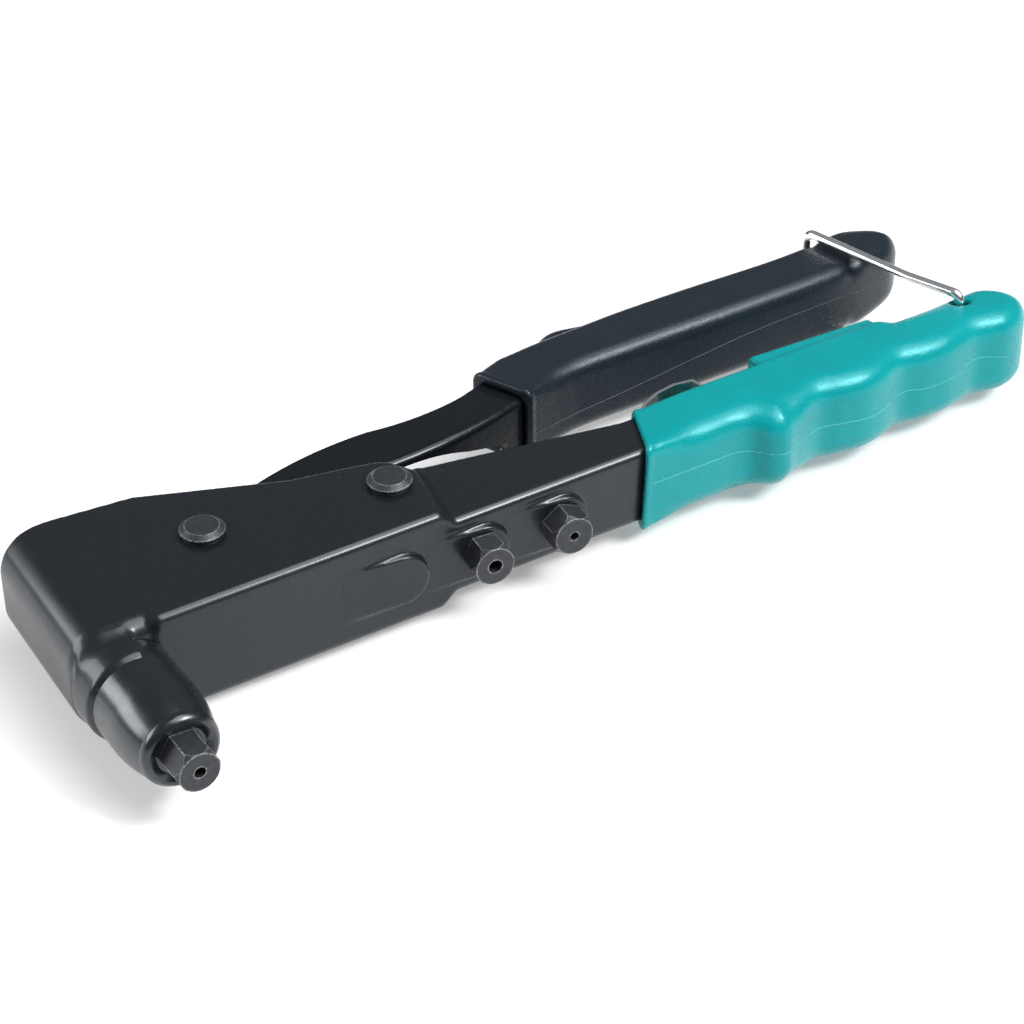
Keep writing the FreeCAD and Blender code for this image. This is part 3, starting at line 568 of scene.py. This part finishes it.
def make_lever_grip():
    """Moulded slate grip: rolled mouth, thumb hump, groove under the latch, rounded end."""
    low = (118.0, 33.0, -13.0)
    X, D, Z = grid(low, (263.0, 69.0, 13.0))
    side = np.abs(Z)
    half = 11.0
    hollow = 9                          # how far the room for the lever goes into the mouth
    mouth_front, mouth_back = (131.6, 37.2), (125.2, 52.2)
    front = [
        (145.0, 41.0), (158.0, 42.2), (200.0, 42.3), (222.0, 42.5), (236.0, 43.0), (247.0, 44.4),
        (256.2, 47.0)]
    back = [
        (261.4, 52.4), (259.6, 58.0), (255.0, 61.3), (249.0, 62.5), (241.0, 60.8), (230.0, 59.6),
        (217.0, 59.4), (195.0, 60.0), (174.0, 60.0), (158.0, 59.2), (146.0, 58.6), (134.0, 57.2)]
    run = smooth_run([mouth_front, *front, *back])
    flat = outline_field([(115.0, 32.5), *run, (110.0, 47.4)], X, D)
    mouth = edge_field(mouth_front, mouth_back, X, D)

    # Its edges are crisper behind, tight near the mouth and widely rounded at the end.
    grip = morph(meet(flat, side - half, 4.8), meet(flat, side - half, 3.2), fade(D, 48, 56))
    grip = morph(meet(flat, side - half, 2.6), grip, fade(-mouth, 1, 14))
    grip = morph(grip, meet(flat, side - half, 7.0), fade(X, 242, 256))

    # The thumb hump, the groove under the latch, and the rolled lip of the mouth.
    hump = smooth_run([
        (143.0, 54.0), (149.0, 62.4), (155.0, 66.0), (162.0, 65.4), (172.0, 62.2), (186.0, 54.0)])
    grip = join(grip, meet(outline_field(hump, X, D), side - 7.0, 3.0), 3.5)
    wire = edge_field((244.4, 26.8), (237.8, 62.2), X, D)
    grip = grip + ridge(wire - 1.0, 0.65, 2.4) * fade(side, 4, 9)
    grip = meet(grip - ridge(mouth + 1.0, 0.40, 0.9), mouth, 0.6)

    # Room for the lever just inside the mouth.
    lever = outline_field([
        (100.0, 24.0), (130.0, 38.6), (150.0, 43.0), (150.0, 56.9), (134.0, 54.1),
        (100.0, 43.0)], X, D)
    grip = cut(grip, np.maximum(meet(lever, side - 8.9, 2.4), -mouth - hollow), 0.5)

    mesh = surface_mesh("slate_grip", grip, low)
    add_piece("slate_grip", mesh, "lever", "grip_slate", "lever_grip")
    seam("slate_grip_seam", [
        (133.5, -2.4), (142.0, -3.4), (149.0, -3.6), (163.0, -2.8), (186.0, -0.2), (207.0, 1.8),
        (232.0, 2.3), (249.0, 1.0), (257.0, 0.8)],
        grip, low, "lever", "grip_slate")


# ---------------------------------------------------------------- small metal parts
def soften(name, width, angle=28):
    """Bevels a CAD node's edges where its faces turn by an angle; the width is in mm."""
    node = nodes[name]
    flat = node.modifiers.new("flat", "DECIMATE")       # merges the triangles of flat faces
    flat.decimate_type = "DISSOLVE"
    flat.angle_limit = math.radians(0.6)
    bevel = node.modifiers.new("edges", "BEVEL")
    bevel.width = width * MM
    bevel.segments = 3
    bevel.limit_method = "ANGLE"
    bevel.angle_limit = math.radians(angle)
    bevel.use_clamp_overlap = True
    even = node.modifiers.new("even", "WEIGHTED_NORMAL")
    even.keep_sharp = False


make_body()
make_body_grip()
make_lever_grip()
soften("handle_lever", 0.35)
for name in ("fulcrum_pin", "pull_lever_pin"):
    soften(name, 0.14)
for name in ("nosepiece_fitted", "nosepiece_spare_large", "nosepiece_spare_small"):
    soften(name, 0.18, angle=18)


# ---------------------------------------------------------------- camera
def make_camera():
    """The photograph's view: from the front left and above, through a long lens."""
    position = Vector((-0.1877, -0.4374, 0.4017))
    azimuth, elevation, roll = (math.radians(angle) for angle in (32.01, 35.31, -0.65))
    back = Vector((-math.sin(azimuth) * math.cos(elevation),
                   -math.cos(azimuth) * math.cos(elevation), math.sin(elevation)))
    level = Vector((math.cos(azimuth), -math.sin(azimuth), 0))
    rise = back.cross(level)
    right = level * math.cos(roll) + rise * math.sin(roll)
    up = rise * math.cos(roll) - level * math.sin(roll)
    data = bpy.data.cameras.new("camera")
    data.lens = 99.77
    data.sensor_width = 36.0
    data.shift_x = -0.0197
    data.shift_y = -0.0006
    data.clip_start = 0.01
    camera = bpy.data.objects.new("camera", data)
    scene.collection.objects.link(camera)
    turn = Matrix((right, up, back)).transposed().to_4x4()
    camera.matrix_world = Matrix.Translation(position) @ turn
    scene.camera = camera


# ---------------------------------------------------------------- studio
def make_floor():
    """White paper under the object; its slight glow keeps the shadows pale."""
    height = cad_box[0][2]
    half = 3.0
    corners = [(-half, -half), (half, -half), (half, half), (-half, half)]
    mesh = bpy.data.meshes.new("floor")
    mesh.from_pydata([(x, y, height) for x, y in corners], [], [(0, 1, 2, 3)])
    floor = bpy.data.objects.new("floor", mesh)
    scene.collection.objects.link(floor)
    paper = Surface("floor_paper", (0.68, 0.68, 0.68), 0.8, glow=WHITE, glow_strength=0.30)
    paper.bump(paper.noise(0.004, 2), depth=10e-6)
    mesh.materials.append(paper.material)


def make_world():
    """Dim surroundings that brighten from the horizon upwards."""
    world = bpy.data.worlds.new("studio")
    world.use_nodes = True
    tree = world.node_tree
    way = tree.nodes.new("ShaderNodeTexCoord").outputs["Generated"]
    split = tree.nodes.new("ShaderNodeSeparateXYZ")
    tree.links.new(way, split.inputs[0])
    rise = tree.nodes.new("ShaderNodeValToRGB")
    tree.links.new(split.outputs["Z"], rise.inputs["Fac"])
    rise.color_ramp.interpolation = "EASE"
    low, high = rise.color_ramp.elements
    low.position, high.position = 0.12, 0.55
    low.color = (0.085, 0.095, 0.105, 1)
    high.color = (0.240, 0.260, 0.285, 1)
    tree.links.new(rise.outputs["Color"], tree.nodes["Background"].inputs["Color"])
    scene.world = world


def make_light(name, direction, distance, size, power):
    """A soft rectangular light that faces a point near the object's middle."""
    middle = Vector((0.10, 0.06, 0.0))
    data = bpy.data.lights.new(name, "AREA")
    data.shape = "RECTANGLE"
    data.size, data.size_y = size
    data.energy = power
    light = bpy.data.objects.new(name, data)
    scene.collection.objects.link(light)
    way = Vector(direction).normalized()
    light.location = middle + way * distance
    light.rotation_euler = way.to_track_quat("Z", "Y").to_euler()


make_camera()
make_floor()
make_world()
make_light("overhead", (0.30, -0.35, 0.90), 1.3, size=(1.0, 1.0), power=15.4)
make_light("front_right", (0.433, -0.578, 0.692), 1.0, size=(0.32, 0.24), power=8.0)
make_light("left", (-0.80, 0.48, 0.38), 1.0, size=(0.70, 0.42), power=6.4)
scene.view_settings.view_transform = "Standard"
